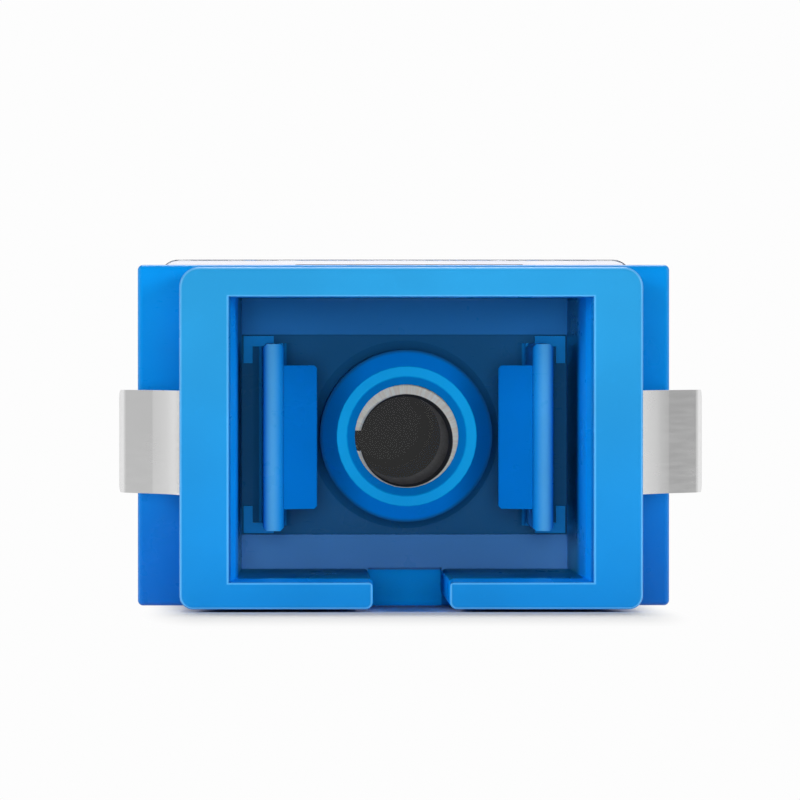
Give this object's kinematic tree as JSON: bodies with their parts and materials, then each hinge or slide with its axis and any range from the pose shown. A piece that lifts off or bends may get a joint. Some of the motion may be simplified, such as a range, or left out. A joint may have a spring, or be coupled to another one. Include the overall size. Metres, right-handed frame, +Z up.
{
  "type": "sc fibre adapter",
  "caption": "Square push-pull simplex fibre adapter: blue two-part shell, latch holders with a split sleeve, steel panel clip and a clear dust cap in the far port.",
  "frame": {"origin": "on the axis of the two ports, in the plane where the two shell halves are welded; the sleeve's own axis lies 0.14 mm off it, because the loose sleeve rests low in its bore", "axes": "+Y along the optical axis, from the open port towards the capped one; X across the width; +Z up, away from the key slots"},
  "size_m": [0.0167, 0.0314, 0.0101],
  "materials": {
    "shell_plastic": "satin moulded",
    "holder_plastic": "satin moulded",
    "sleeve_metal": "fine turned",
    "clip_steel": "satin rolled",
    "cap_plastic": "clear moulded"
  },
  "bodies": {
    "adapter": {"front_housing": "shell_plastic", "rear_housing": "shell_plastic", "front_latch_holder": "holder_plastic", "rear_latch_holder": "holder_plastic", "alignment_sleeve": "sleeve_metal", "panel_clip": "clip_steel"},
    "dust_cap": {"rear_dust_cap": "cap_plastic"}
  },
  "joints": [
    {"name": "dust_cap_pull", "type": "slide", "parent": "adapter", "child": "dust_cap", "axis": [0, 1, 0], "range_m": [0, 0.012]}
  ]
}
